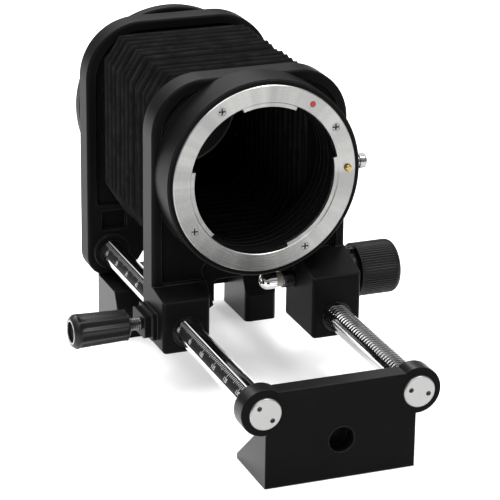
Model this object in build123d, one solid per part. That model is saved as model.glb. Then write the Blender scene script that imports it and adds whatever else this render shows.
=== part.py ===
"""Macro bellows extension for an interchangeable-lens camera.

Frame: +X to the right seen from the lens side, +Y from the lens towards the camera, +Z up.
Origin: mouth of the tripod socket, in the flat underside of the front wedge foot.
Units: millimetres.
"""

import os
from math import acos, cos, degrees, pi, radians, sin, sqrt, tan

from build123d import *

# ---------------------------------------------------------------- driving dimensions
# guide rods
ROD_SPACING = 48.0
ROD_DIAMETER = 8.0
ROD_HEIGHT = 24.1
ROD_FRONT_Y = -9.8
ROD_REAR_Y = 135.0

# optical axis
AXIS_HEIGHT = 71.5

# front end plate and wedge foot
PLATE_FRONT_Y = -11.8
PLATE_THICKNESS = 6.0
PLATE_WIDTH = 47.2
PLATE_TOP_Z = 30.0
EAR_RADIUS = 7.2
WEDGE_REAR_Y = 11.0
WEDGE_TOP_Z = 16.0
WEDGE_LIP = 1.6
FRONT_SOCKET_RADIUS = 4.0
FRONT_SOCKET_Z = 12.3
FRONT_SOCKET_DEPTH = 5.2
TRIPOD_SOCKET_RADIUS = 2.6
TRIPOD_SOCKET_DEPTH = 8.0

# both standards
STANDARD_WIDTH = 64.0
RIM_WIDTH = 3.0
RIM_HEIGHT = 1.5

# front standard, in the rest position of the carriage
FRONT_FACE_Y = 62.5
FRONT_THICKNESS = 9.5
FRONT_TOP_Z = 101.0
FRONT_CORNER_RADIUS = 17.0
FRONT_ARCH_TOP_Z = 35.2
FRONT_ARCH_STEP_Z = 28.2
FRONT_ARCH_HALF = 11.0
WEB_POCKET_DEPTH = 2.0

# guide blocks of the front standard: -1 is the lock's side, 1 the focusing knob's
BLOCK_BOTTOM_Z = 17.2
BLOCK_INNER_X = {-1: 16.6, 1: 15.9}
BLOCK_FRONT_Y = {-1: 52.5, 1: 48.8}
BLOCK_TOP_Z = {-1: 34.2, 1: 37.4}
BLOCK_SLOPE_TOP_Z = {-1: 35.8, 1: 42.0}
BLOCK_CORNER_RADIUS = 1.5
BUSH_RADIUS = 4.9
BUSH_BORE_RADIUS = 4.04
BUSH_LENGTH = 7.0
REAR_BUSH_LENGTH = 5.0

# rear standard
REAR_FACE_Y = 127.0
REAR_THICKNESS = 8.5
REAR_TOP_Z = 102.0
REAR_CORNER_RADIUS = 19.0
REAR_BOTTOM_Z = 15.5
REAR_LOBE_RADIUS = 7.0
REAR_ARCH_TOP_Z = 34.0
REAR_ARCH_BOTTOM_HALF = 15.8
REAR_ARCH_TOP_HALF = 11.0

# rear foot block
FOOT_HALF_WIDTH = 28.0
FOOT_INNER_X = 17.0
FOOT_FRONT_Y = 108.5
FOOT_REAR_Y = 130.5
FOOT_SLOPE_DEPTH = 3.5
FOOT_SLOPE_DROP = 6.5
BRIDGE_HALF_WIDTH = 21.5
BRIDGE_FRONT_Y = 124.5
BRIDGE_BOTTOM_Z = 8.5

# lens side bayonet
RING_RADIUS = 29.6
RING_BORE_RADIUS = 24.0
CLAW_BORE_RADIUS = 22.8
RING_FRONT_Y = 50.3
RING_THICKNESS = 2.5
CLAW_THICKNESS = 1.3
CLAW_SPANS = ((65.0, 108.0), (-71.0, 11.0), (169.0, 224.0))
RING_SCREW_ANGLES = (32.0, 122.0, 212.0, 300.0)
RING_SCREW_CIRCLE = 26.8
INDEX_DOT_ANGLE = 56.0
BARREL_RADIUS = 31.2
BARREL_FRONT_Y = 50.9
BARREL_BORE_RADIUS = 24.8
BARREL_TUBE_RADIUS = 27.0
BAFFLE_DEPTH = 0.9

# lens lock pin and release button
LOCK_PIN_X = 27.0
LOCK_PIN_Z = AXIS_HEIGHT + 0.8
LOCK_PIN_RADIUS = 1.1
BUTTON_Y = 55.0
BUTTON_RADIUS = 2.3
BUTTON_STEM_RADIUS = 1.4
RUNNING_CLEARANCE = 0.05

# camera side mount
MOUNT_HUB_RADIUS = 26.8
RETAINER_RADIUS = 27.3
MOUNT_LIGHT_RADIUS = 20.5
FLANGE_RADIUS = 31.8
FLANGE_FRONT_Y = 135.7
FLANGE_THICKNESS = 4.8
MALE_RING_RADIUS = 29.0
MALE_RING_THICKNESS = 1.5
MALE_TUBE_RADIUS = 22.6
MALE_LUG_RADIUS = 23.8
MALE_LENGTH = 4.0
LUG_THICKNESS = 1.5
LUG_SPANS = ((14.0, 62.0), (111.0, 166.0), (227.0, 286.0))

# bellows
BELLOWS_WIDTH = 54.0
BELLOWS_BOTTOM_Z = 40.0
BELLOWS_TOP_Z = 99.0
BELLOWS_CUT = 8.0
BELLOWS_WALL = 4.5
BELLOWS_END_GAP = 0.2
FRAME_THICKNESS = 2.0
FRAME_INSET = 1.0

# rack and pinion
GEAR_MODULE = 0.5
PINION_TEETH = 18
PRESSURE_ANGLE = radians(20.0)
RACK_PITCH_HEIGHT = 3.3
RACK_ADDENDUM = 0.45
RACK_DEDENDUM = 0.65
BACKLASH = 0.16
PINION_Y = 66.0
PINION_X = (20.0, 28.0)
PINION_CAVITY_RADIUS = 5.3
RACK_TEETH_FRONT = 43
RACK_TEETH_REAR = 24

# focusing knob
KNOB_RADIUS = 8.6
KNOB_X = (37.0, 50.4)
KNOB_COLLAR_X = 33.0
SHAFT_RADIUS = 2.5
SHAFT_TIP_RADIUS = 2.0

# carriage lock
LOCK_Y = 64.0
LOCK_KNOB_RADIUS = 5.45
LOCK_KNOB_X = (-57.9, -39.6)
LOCK_FLUTES = 10
LOCK_SCREW_RADIUS = 2.0
LOCK_BOSS_HEIGHT = 3.9

# scale strip, angles measured from straight up towards the outer side
STRIP_ANGLES = (21.5, 83.0)
STRIP_THICKNESS = 0.15
STRIP_Y = (-4.0, 126.0)

# ---------------------------------------------------------------- derived dimensions
ROD_X = ROD_SPACING / 2
ROD_RADIUS = ROD_DIAMETER / 2
HALF_WIDTH = STANDARD_WIDTH / 2
FRONT_REAR_Y = FRONT_FACE_Y + FRONT_THICKNESS
REAR_BACK_Y = REAR_FACE_Y + REAR_THICKNESS
PLATE_REAR_Y = PLATE_FRONT_Y + PLATE_THICKNESS
RACK_PITCH = pi * GEAR_MODULE
PINION_PITCH_RADIUS = GEAR_MODULE * PINION_TEETH / 2
PINION_Z = ROD_HEIGHT + RACK_PITCH_HEIGHT + PINION_PITCH_RADIUS
SIDES = (-1, 1)


# ---------------------------------------------------------------- helpers
def box(x, y, z):
    """Box from its (low, high) extents on each axis."""
    size = Box(x[1] - x[0], y[1] - y[0], z[1] - z[0])
    return Pos((x[0] + x[1]) / 2, (y[0] + y[1]) / 2, (z[0] + z[1]) / 2) * size


def bar_x(radius, y, z, x):
    """Cylinder along X between the two x values."""
    length = x[1] - x[0]
    return Pos((x[0] + x[1]) / 2, y, z) * Rot(0, 90, 0) * Cylinder(radius, length)


def bar_y(radius, x, z, y):
    """Cylinder along Y between the two y values."""
    length = y[1] - y[0]
    return Pos(x, (y[0] + y[1]) / 2, z) * Rot(90, 0, 0) * Cylinder(radius, length)


def bar_z(radius, x, y, z):
    """Upright cylinder between the two z values."""
    length = z[1] - z[0]
    return Pos(x, y, (z[0] + z[1]) / 2) * Cylinder(radius, length)


def extrude_y(sketch, y):
    """Extrude a sketch drawn in (x, z) between the two y values."""
    face = Plane(origin=(0, y[1], 0), x_dir=(1, 0, 0), z_dir=(0, -1, 0)) * sketch
    return extrude(face, y[1] - y[0])


def extrude_x(sketch, x):
    """Extrude a sketch drawn in (y, z) between the two x values."""
    face = Plane(origin=(x[0], 0, 0), x_dir=(0, 1, 0), z_dir=(1, 0, 0)) * sketch
    return extrude(face, x[1] - x[0])


def polygon(points):
    """Filled polygon through the points, in their own coordinates."""
    return make_face(Polyline(*points, close=True))


def annulus(outer, inner):
    """Flat ring around the optical axis, drawn in (x, z)."""
    return Pos(0, AXIS_HEIGHT) * (Circle(outer) - Circle(inner))


def sector(outer, inner, span):
    """Part of a ring around the optical axis between two angles in degrees."""
    far = 2 * outer
    middle = sum(span) / 2
    corners = [(0, 0)] + [(far * cos(radians(a)), far * sin(radians(a))) for a in (span[0], middle, span[1])]
    return Pos(0, AXIS_HEIGHT) * ((Circle(outer) - Circle(inner)) & polygon(corners))


def on_circle(radius, angle):
    """Point (x, z) on a circle around the optical axis."""
    return radius * cos(radians(angle)), AXIS_HEIGHT + radius * sin(radians(angle))


def group(solids):
    """Separate solids that share one node."""
    return Compound(children=list(solids))


def cross_screw_y(x, z, head_y, head_radius, head_length, shank_radius, shank_length, facing=-1):
    """Cross-head screw along Y. facing -1 has its head towards the lens, +1 towards the camera."""
    inner = head_y - facing * head_length
    tip = inner - facing * shank_length
    head = bar_y(head_radius, x, z, sorted((head_y, inner)))
    shank = bar_y(shank_radius, x, z, sorted((inner, tip)))
    arm = 0.75 * head_radius
    slot = 0.16 * head_radius
    floor = head_y - facing * 0.5 * head_length
    for half_x, half_z in ((arm, slot), (slot, arm)):
        head -= box((x - half_x, x + half_x), sorted((head_y, floor)), (z - half_z, z + half_z))
    return head + shank


# ---------------------------------------------------------------- base: rods and end plate
def strip_sector():
    """Cross-section (x, z) of the scale strip on the left rod."""
    far = 2 * ROD_RADIUS
    angles = (STRIP_ANGLES[0], sum(STRIP_ANGLES) / 2, STRIP_ANGLES[1])
    corners = [(0, 0)] + [(-far * sin(radians(a)), far * cos(radians(a))) for a in angles]
    ring = Circle(ROD_RADIUS - 0.01) - Circle(ROD_RADIUS - STRIP_THICKNESS)
    return Pos(-ROD_X, ROD_HEIGHT) * (ring & polygon(corners))


def make_scale_strip():
    return extrude_y(strip_sector(), STRIP_Y)


def plain_rod(x):
    """Guide rod with a threaded hole in its front end for the end nut."""
    rod = bar_y(ROD_RADIUS, x, ROD_HEIGHT, (ROD_FRONT_Y, ROD_REAR_Y))
    return rod - bar_y(2.5, x, ROD_HEIGHT, (ROD_FRONT_Y, ROD_FRONT_Y + 8))


def make_scale_rod():
    groove = Pos(-ROD_X, ROD_HEIGHT) * Circle(ROD_RADIUS + 1)
    groove -= Pos(-ROD_X, ROD_HEIGHT) * Circle(ROD_RADIUS - STRIP_THICKNESS)
    far = 3 * ROD_RADIUS
    angles = (STRIP_ANGLES[0], sum(STRIP_ANGLES) / 2, STRIP_ANGLES[1])
    corners = [(0, 0)] + [(-far * sin(radians(a)), far * cos(radians(a))) for a in angles]
    groove = groove & (Pos(-ROD_X, ROD_HEIGHT) * polygon(corners))
    return plain_rod(-ROD_X) - extrude_y(groove, STRIP_Y)


def rack_cutter():
    """Outline (y, z) of what is milled away above the rack teeth."""
    pitch_z = ROD_HEIGHT + RACK_PITCH_HEIGHT
    half_tip = RACK_PITCH / 4 - RACK_ADDENDUM * tan(PRESSURE_ANGLE) - BACKLASH / 4
    half_root = RACK_PITCH / 4 + RACK_DEDENDUM * tan(PRESSURE_ANGLE) - BACKLASH / 4
    tip_z = pitch_z + RACK_ADDENDUM
    root_z = pitch_z - RACK_DEDENDUM
    above = ROD_HEIGHT + ROD_RADIUS + 2
    first = PINION_Y - RACK_TEETH_FRONT * RACK_PITCH
    last = PINION_Y + RACK_TEETH_REAR * RACK_PITCH
    points = [(first - half_tip, above), (first - half_tip, tip_z)]
    for index in range(-RACK_TEETH_FRONT, RACK_TEETH_REAR + 1):
        centre = PINION_Y + index * RACK_PITCH
        if index > -RACK_TEETH_FRONT:
            points += [(centre - half_root, root_z), (centre - half_tip, tip_z)]
        points.append((centre + half_tip, tip_z))
        if index < RACK_TEETH_REAR:
            points.append((centre + half_root, root_z))
    points.append((last + half_tip, above))
    return polygon(points)


def make_rack_rod():
    return plain_rod(ROD_X) - extrude_x(rack_cutter(), (ROD_X - ROD_RADIUS, ROD_X + ROD_RADIUS))


def make_front_end_plate():
    half = PLATE_WIDTH / 2
    outline = Pos(0, PLATE_TOP_Z / 2) * Rectangle(PLATE_WIDTH, PLATE_TOP_Z)
    for side in SIDES:
        outline += Pos(side * ROD_X, ROD_HEIGHT) * Circle(EAR_RADIUS)
    plate = extrude_y(outline, (PLATE_FRONT_Y, PLATE_REAR_Y))
    plate = fillet(plate.faces().sort_by(Axis.Y)[0].edges(), 0.5)
    lip = WEDGE_LIP
    side_view = [(PLATE_REAR_Y, 0), (WEDGE_REAR_Y, 0), (WEDGE_REAR_Y, lip), (PLATE_REAR_Y, WEDGE_TOP_Z)]
    wedge = extrude_x(polygon(side_view), (-half, half))
    wedge = fillet(wedge.edges().filter_by(Axis.X).group_by(Axis.Y)[-1], 0.6)
    body = plate + wedge
    for side in SIDES:
        x = side * ROD_X
        body -= bar_y(ROD_RADIUS, x, ROD_HEIGHT, (ROD_FRONT_Y, PLATE_REAR_Y + 1))
        body -= bar_y(2.5, x, ROD_HEIGHT, (PLATE_FRONT_Y - 1, ROD_FRONT_Y))
        body -= bar_y(5.0, x, ROD_HEIGHT, (PLATE_FRONT_Y - 1, PLATE_FRONT_Y + 1))
    front_mouth = (PLATE_FRONT_Y - 1, PLATE_FRONT_Y + FRONT_SOCKET_DEPTH)
    body -= bar_y(FRONT_SOCKET_RADIUS, 0, FRONT_SOCKET_Z, front_mouth)
    body -= bar_z(TRIPOD_SOCKET_RADIUS, 0, 0, (-1, TRIPOD_SOCKET_DEPTH))
    return body


def make_rod_end_nuts():
    """Flat round nuts with two spanner holes; each is turned to where it came tight."""
    nuts = []
    for side, angle in zip(SIDES, (-46.0, -17.0)):
        x = side * ROD_X
        head = bar_y(4.9, x, ROD_HEIGHT, (PLATE_FRONT_Y - 0.9, PLATE_FRONT_Y + 1))
        head = chamfer(head.edges().group_by(Axis.Y)[0], 0.3)
        nut = head + bar_y(2.5, x, ROD_HEIGHT, (PLATE_FRONT_Y + 1, ROD_FRONT_Y + 6))
        for end in SIDES:
            hole_x = x + end * 2.9 * cos(radians(angle))
            hole_z = ROD_HEIGHT + end * 2.9 * sin(radians(angle))
            nut -= bar_y(0.75, hole_x, hole_z, (PLATE_FRONT_Y - 2, PLATE_FRONT_Y + 0.4))
        nuts.append(nut)
    return group(nuts)


# ---------------------------------------------------------------- base: rear standard
def rear_outline():
    """Outline (x, z) of the rear standard with its two lobes round the rods."""
    height = REAR_TOP_Z - REAR_BOTTOM_Z
    outline = Pos(0, REAR_BOTTOM_Z + height / 2) * Rectangle(STANDARD_WIDTH, height)
    corners = outline.vertices().group_by(Axis.Y)
    outline = fillet(corners[-1], REAR_CORNER_RADIUS)
    outline = fillet(outline.vertices().group_by(Axis.Y)[0], REAR_LOBE_RADIUS)
    arch = polygon(
        [
            (-REAR_ARCH_BOTTOM_HALF, REAR_BOTTOM_Z - 1),
            (REAR_ARCH_BOTTOM_HALF, REAR_BOTTOM_Z - 1),
            (REAR_ARCH_BOTTOM_HALF, REAR_BOTTOM_Z + 2),
            (REAR_ARCH_TOP_HALF, ROD_HEIGHT + 1),
            (REAR_ARCH_TOP_HALF, REAR_ARCH_TOP_Z),
            (-REAR_ARCH_TOP_HALF, REAR_ARCH_TOP_Z),
            (-REAR_ARCH_TOP_HALF, ROD_HEIGHT + 1),
            (-REAR_ARCH_BOTTOM_HALF, REAR_BOTTOM_Z + 2),
        ]
    )
    arch = fillet(arch.vertices().group_by(Axis.Y)[-1], 4.0)
    return outline - arch


def rim_recess(top_z, bottom_z, corner_radius):
    """Area (x, z) inside the raised rim of a standard."""
    width = STANDARD_WIDTH - 2 * RIM_WIDTH
    top = top_z - RIM_WIDTH
    area = Pos(0, (top + bottom_z) / 2) * Rectangle(width, top - bottom_z)
    area = fillet(area.vertices().group_by(Axis.Y)[-1], corner_radius - RIM_WIDTH)
    return fillet(area.vertices().group_by(Axis.Y)[0], 2.0)


def make_rear_standard():
    body = extrude_y(rear_outline(), (REAR_FACE_Y, REAR_BACK_Y))
    front_edges = body.faces().sort_by(Axis.Y)[0].outer_wire().edges()
    back_edges = body.faces().sort_by(Axis.Y)[-1].outer_wire().edges()
    body = fillet(front_edges + back_edges, 1.0)
    recess = rim_recess(REAR_TOP_Z, ROD_HEIGHT + 16, REAR_CORNER_RADIUS)
    body -= extrude_y(recess, (REAR_FACE_Y - 1, REAR_FACE_Y + RIM_HEIGHT))
    body -= bar_y(MOUNT_HUB_RADIUS + RUNNING_CLEARANCE, 0, AXIS_HEIGHT, (REAR_FACE_Y - 1, REAR_BACK_Y + 1))
    retainer_room = (REAR_FACE_Y + RIM_HEIGHT - 1, HUB_FRONT_Y + 0.05)
    body -= bar_y(RETAINER_RADIUS + 0.1, 0, AXIS_HEIGHT, retainer_room)
    for side in SIDES:
        x = side * ROD_X
        pocket_x = sorted((side * 18.7, side * 27.4))
        pocket = box(pocket_x, (REAR_FACE_Y - 1, REAR_FACE_Y + 2.0), (31.6, 38.4))
        body -= fillet(pocket.edges().filter_by(Axis.Y), 1.0)
        body += bar_y(6.0, x, ROD_HEIGHT, (REAR_FACE_Y - 1.0, REAR_FACE_Y + 1.5))
        body -= bar_y(ROD_RADIUS, x, ROD_HEIGHT, (REAR_FACE_Y - 2, ROD_REAR_Y))
        body -= bar_z(1.5, x, 133.0, (REAR_BOTTOM_Z - 1, ROD_HEIGHT))
        body -= bar_z(1.5, side * 18.8, 131.2, (REAR_BOTTOM_Z - 1, 19.5))
        for z in BELLOWS_SCREW_Z:
            screw_y = (REAR_FACE_Y, REAR_FACE_Y + RIM_HEIGHT + 2.5)
            body -= bar_y(0.8, side * BELLOWS_SCREW_X, z, screw_y)
    return body


def make_rod_set_screws():
    """Grub screws that hold the rods, from below."""
    screws = []
    for side in SIDES:
        screw = bar_z(1.5, side * ROD_X, 133.0, (REAR_BOTTOM_Z + 0.4, ROD_HEIGHT - ROD_RADIUS))
        socket = Pos(side * ROD_X, 133.0, REAR_BOTTOM_Z + 0.4) * extrude(RegularPolygon(0.8, 6), 1.5)
        screws.append(screw - socket)
    return group(screws)


def make_rear_foot():
    """U-shaped foot block: two legs forward of the rear standard and a bridge under it."""
    top = REAR_BOTTOM_Z
    leg_side = [
        (FOOT_FRONT_Y, 0),
        (FOOT_REAR_Y, 0),
        (FOOT_REAR_Y, top),
        (FOOT_FRONT_Y + FOOT_SLOPE_DEPTH, top),
        (FOOT_FRONT_Y, top - FOOT_SLOPE_DROP),
    ]
    bridge_x = (-BRIDGE_HALF_WIDTH, BRIDGE_HALF_WIDTH)
    foot = box(bridge_x, (BRIDGE_FRONT_Y, REAR_BACK_Y), (BRIDGE_BOTTOM_Z, top))
    for side in SIDES:
        leg = extrude_x(polygon(leg_side), sorted((side * FOOT_INNER_X, side * FOOT_HALF_WIDTH)))
        leg = fillet(leg.edges().filter_by(Axis.Z), 1.6)
        foot += leg
    for side in SIDES:
        x = side * 18.8
        foot -= bar_z(1.5, x, 131.2, (BRIDGE_BOTTOM_Z - 1, top + 1))
        foot -= bar_z(2.8, x, 131.2, (-1, BRIDGE_BOTTOM_Z + 3))
    return foot


def make_rear_foot_screws():
    screws = []
    for side in SIDES:
        x = side * 18.8
        head = bar_z(2.7, x, 131.2, (BRIDGE_BOTTOM_Z + 0.5, BRIDGE_BOTTOM_Z + 3))
        shank = bar_z(1.5, x, 131.2, (BRIDGE_BOTTOM_Z + 3, 19.5))
        socket = Pos(x, 131.2, BRIDGE_BOTTOM_Z + 0.5) * extrude(RegularPolygon(1.4, 6), 1.4)
        screws.append(head + shank - socket)
    return group(screws)


# ---------------------------------------------------------------- bellows and its frames
BELLOWS_MIDDLE_Z = (BELLOWS_BOTTOM_Z + BELLOWS_TOP_Z) / 2
BELLOWS_HEIGHT = BELLOWS_TOP_Z - BELLOWS_BOTTOM_Z
FRONT_FRAME_Y = (FRONT_REAR_Y, FRONT_REAR_Y + FRAME_THICKNESS)
REAR_FRAME_Y = (REAR_FACE_Y + RIM_HEIGHT - FRAME_THICKNESS, REAR_FACE_Y + RIM_HEIGHT)
BELLOWS_SCREW_X = 24.2
BELLOWS_SCREW_Z = (BELLOWS_MIDDLE_Z - 20.0, BELLOWS_MIDDLE_Z + 20.0)


def bellows_section(inset):
    """Rectangle with cut corners (x, z), inset from the outer pleat edges."""
    width = BELLOWS_WIDTH - 2 * inset
    height = BELLOWS_HEIGHT - 2 * inset
    outline = Pos(0, BELLOWS_MIDDLE_Z) * Rectangle(width, height)
    return chamfer(outline.vertices(), BELLOWS_CUT - 0.6 * inset)


def make_bellows():
    """Envelope of the pleats: a tube open at both ends."""
    tube = bellows_section(0) - bellows_section(BELLOWS_WALL)
    return extrude_y(tube, (FRONT_FRAME_Y[1] + BELLOWS_END_GAP, REAR_FRAME_Y[0] - BELLOWS_END_GAP))


def make_bellows_frame(y):
    frame = extrude_y(bellows_section(FRAME_INSET) - bellows_section(BELLOWS_WALL + 0.3), y)
    for side in SIDES:
        for z in BELLOWS_SCREW_Z:
            frame -= bar_y(0.8, side * BELLOWS_SCREW_X, z, (y[0] - 1, y[1] + 1))
    return frame


def make_bellows_screws(head_y, facing):
    """Four screws through a bellows frame into its standard."""
    screws = []
    for side in SIDES:
        for z in BELLOWS_SCREW_Z:
            x = side * BELLOWS_SCREW_X
            tip = head_y - facing * (FRAME_THICKNESS + 2.2)
            screws.append(bar_y(0.8, x, z, sorted((head_y, tip))))
    return group(screws)


# ---------------------------------------------------------------- front carriage
def front_outline():
    """Outline (x, z) of the front standard. Its arch is wider on the pinion's side."""
    height = FRONT_TOP_Z - BLOCK_BOTTOM_Z
    outline = Pos(0, BLOCK_BOTTOM_Z + height / 2) * Rectangle(STANDARD_WIDTH, height)
    outline = fillet(outline.vertices().group_by(Axis.Y)[-1], FRONT_CORNER_RADIUS)
    arch = polygon(
        [
            (-BLOCK_INNER_X[-1], BLOCK_BOTTOM_Z - 1),
            (BLOCK_INNER_X[1], BLOCK_BOTTOM_Z - 1),
            (BLOCK_INNER_X[1], FRONT_ARCH_TOP_Z),
            (-FRONT_ARCH_HALF, FRONT_ARCH_TOP_Z),
            (-FRONT_ARCH_HALF, FRONT_ARCH_STEP_Z),
            (-BLOCK_INNER_X[-1], ROD_HEIGHT),
        ]
    )
    outline -= fillet(arch.vertices().group_by(Axis.Y)[-1], 1.5)
    return fillet(outline.vertices().group_by(Axis.Y)[0], BLOCK_CORNER_RADIUS)


def guide_block(side):
    """Block that slides on one rod, with a sloped top up to the standard."""
    front_y = BLOCK_FRONT_Y[side]
    slope_top_z = BLOCK_SLOPE_TOP_Z[side]
    side_view = [
        (front_y, BLOCK_BOTTOM_Z),
        (FRONT_FACE_Y + 4, BLOCK_BOTTOM_Z),
        (FRONT_FACE_Y + 4, slope_top_z),
        (FRONT_FACE_Y, slope_top_z),
        (front_y, BLOCK_TOP_Z[side]),
    ]
    block = extrude_x(polygon(side_view), sorted((side * BLOCK_INNER_X[side], side * HALF_WIDTH)))
    bottom = block.faces().sort_by(Axis.Z)[0]
    block = fillet(bottom.edges().filter_by(Axis.Y), BLOCK_CORNER_RADIUS)
    front = block.faces().sort_by(Axis.Y)[0]
    return fillet(front.edges(), 1.2)


def lock_boss():
    """Two-step boss on the outer side of the left guide block."""
    low_z = ROD_HEIGHT - 4.1
    top_z = ROD_HEIGHT + 4.7
    lower = box((-HALF_WIDTH - 1.6, -HALF_WIDTH + 1), (LOCK_Y - 6.4, LOCK_Y + 6.6), (low_z, top_z))
    upper_x = (-HALF_WIDTH - LOCK_BOSS_HEIGHT, -HALF_WIDTH)
    upper = box(upper_x, (LOCK_Y - 5.5, LOCK_Y + 5.7), (low_z + 0.8, top_z - 0.8))
    return fillet(lower.edges().filter_by(Axis.X), 1.2) + fillet(upper.edges().filter_by(Axis.X), 1.2)


def web_pocket():
    """Recess (x, z) in the web between the guide blocks, under the lens barrel."""
    right_x = BLOCK_INNER_X[1]
    area = polygon([(-11.7, 27.0), (right_x, 27.0), (right_x, 41.5), (-16.2, 41.5)])
    corner = area.vertices().sort_by(Axis.Y)[-2:].sort_by(Axis.X)[0]
    return fillet(corner, 2.5)


def make_front_standard():
    body = extrude_y(front_outline(), (FRONT_FACE_Y, FRONT_REAR_Y))
    outer = body.edges().filter_by(lambda e: e.center().Z > BLOCK_SLOPE_TOP_Z[1] + 4)
    body = fillet(outer.group_by(Axis.Y)[0] + outer.group_by(Axis.Y)[-1], 1.2)
    recess = rim_recess(FRONT_TOP_Z, BLOCK_SLOPE_TOP_Z[-1] + 0.4, FRONT_CORNER_RADIUS)
    recess -= Pos(0, AXIS_HEIGHT) * Circle(BARREL_RADIUS)
    body -= extrude_y(recess, (FRONT_FACE_Y - 1, FRONT_FACE_Y + RIM_HEIGHT))
    for side in SIDES:
        body += guide_block(side)
    body += lock_boss()
    body -= extrude_y(web_pocket(), (FRONT_FACE_Y - 1, FRONT_FACE_Y + WEB_POCKET_DEPTH))
    body -= bar_y(BARREL_TUBE_RADIUS, 0, AXIS_HEIGHT, (FRONT_FACE_Y - 1, FRONT_REAR_Y + 1))
    for side in SIDES:
        x = side * ROD_X
        front_y = BLOCK_FRONT_Y[side]
        body -= bar_y(ROD_RADIUS + 0.3, x, ROD_HEIGHT, (front_y - 1, FRONT_REAR_Y + 1))
        body -= bar_y(BUSH_RADIUS, x, ROD_HEIGHT, (front_y - 1, front_y + BUSH_LENGTH))
        for z in BELLOWS_SCREW_Z:
            body -= bar_y(0.8, side * BELLOWS_SCREW_X, z, (FRONT_REAR_Y - 2.5, FRONT_REAR_Y + 1))
    body -= bar_y(BUSH_RADIUS, -ROD_X, ROD_HEIGHT, (FRONT_REAR_Y - REAR_BUSH_LENGTH, FRONT_REAR_Y + 1))
    lock_hole_x = (-HALF_WIDTH - LOCK_BOSS_HEIGHT - 1, -ROD_X - 3)
    body -= bar_x(LOCK_SCREW_RADIUS + RUNNING_CLEARANCE, LOCK_Y, ROD_HEIGHT, lock_hole_x)
    body -= bar_x(PINION_CAVITY_RADIUS, PINION_Y, PINION_Z, (PINION_X[0] - 0.4, HALF_WIDTH + 1))
    body -= bar_x(3.2, PINION_Y, PINION_Z, (BLOCK_INNER_X[1] - 1, PINION_X[0]))
    return body


def make_rod_bushes():
    """A bush in the front of each block, and one behind the lock screw."""
    places = [(side, (BLOCK_FRONT_Y[side] - 0.3, BLOCK_FRONT_Y[side] + BUSH_LENGTH)) for side in SIDES]
    places.append((-1, (FRONT_REAR_Y - REAR_BUSH_LENGTH, FRONT_REAR_Y + 0.3)))
    bushes = []
    for side, y in places:
        bush = bar_y(BUSH_RADIUS, side * ROD_X, ROD_HEIGHT, y)
        bushes.append(bush - bar_y(BUSH_BORE_RADIUS, side * ROD_X, ROD_HEIGHT, (y[0] - 1, y[1] + 1)))
    return group(bushes)


def make_lens_barrel():
    seat_y = RING_FRONT_Y + RING_THICKNESS
    bore = BARREL_BORE_RADIUS
    body = extrude_y(annulus(BARREL_RADIUS, bore), (seat_y, FRONT_FACE_Y))
    body += extrude_y(annulus(BARREL_RADIUS, RING_RADIUS), (BARREL_FRONT_Y, seat_y))
    body += extrude_y(annulus(BARREL_TUBE_RADIUS, bore), (FRONT_FACE_Y, FRONT_REAR_Y))
    front_edge = body.edges().filter_by(GeomType.CIRCLE).sort_by(Axis.Y)[:2].sort_by(SortBy.RADIUS)[-1]
    body = chamfer(front_edge, 0.4)
    for index in range(4):
        groove_y = seat_y + 6.0 + 3.0 * index
        body -= extrude_y(annulus(bore + BAFFLE_DEPTH, bore - 1), (groove_y, groove_y + 1.6))
    for angle in RING_SCREW_ANGLES:
        x, z = on_circle(RING_SCREW_CIRCLE, angle)
        body -= bar_y(0.7, x, z, (seat_y - 0.1, seat_y + 3.4))
    pin_hole = (seat_y - 0.1, FRONT_FACE_Y - 1)
    body -= bar_y(LOCK_PIN_RADIUS + RUNNING_CLEARANCE, LOCK_PIN_X, LOCK_PIN_Z, pin_hole)
    stem_hole = (LOCK_PIN_X + 1, BARREL_RADIUS + 1)
    body -= bar_x(BUTTON_STEM_RADIUS + RUNNING_CLEARANCE, BUTTON_Y, LOCK_PIN_Z, stem_hole)
    head_seat = (BARREL_RADIUS - 0.9, BARREL_RADIUS + 1)
    return body - bar_x(BUTTON_RADIUS + 0.25, BUTTON_Y, LOCK_PIN_Z, head_seat)


def make_lens_bayonet_ring():
    ring_y = (RING_FRONT_Y, RING_FRONT_Y + RING_THICKNESS)
    ring = extrude_y(annulus(RING_RADIUS, RING_BORE_RADIUS), ring_y)
    ring = chamfer(ring.edges().group_by(Axis.Y)[0], 0.25)
    for span in CLAW_SPANS:
        claw = sector(RING_BORE_RADIUS + 0.6, CLAW_BORE_RADIUS, span)
        ring += extrude_y(claw, (RING_FRONT_Y + 0.3, RING_FRONT_Y + 0.3 + CLAW_THICKNESS))
    for angle in RING_SCREW_ANGLES:
        x, z = on_circle(RING_SCREW_CIRCLE, angle)
        ring -= bar_y(0.7, x, z, (RING_FRONT_Y - 1, ring_y[1] + 1))
        ring -= bar_y(1.35, x, z, (RING_FRONT_Y - 1, RING_FRONT_Y + 0.9))
    x, z = on_circle(RING_SCREW_CIRCLE, INDEX_DOT_ANGLE)
    ring -= bar_y(0.95, x, z, (RING_FRONT_Y - 1, RING_FRONT_Y + 0.4))
    return ring - bar_y(LOCK_PIN_RADIUS + RUNNING_CLEARANCE, LOCK_PIN_X, LOCK_PIN_Z, (RING_FRONT_Y - 1, ring_y[1] + 1))


def make_bayonet_screws():
    places = [on_circle(RING_SCREW_CIRCLE, angle) for angle in RING_SCREW_ANGLES]
    return group(cross_screw_y(x, z, RING_FRONT_Y + 0.05, 1.35, 0.85, 0.7, 4.8) for x, z in places)


def make_index_dot():
    x, z = on_circle(RING_SCREW_CIRCLE, INDEX_DOT_ANGLE)
    dot = bar_y(0.95, x, z, (RING_FRONT_Y - 0.15, RING_FRONT_Y + 0.4))
    return fillet(dot.edges().group_by(Axis.Y)[0], 0.14)


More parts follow.
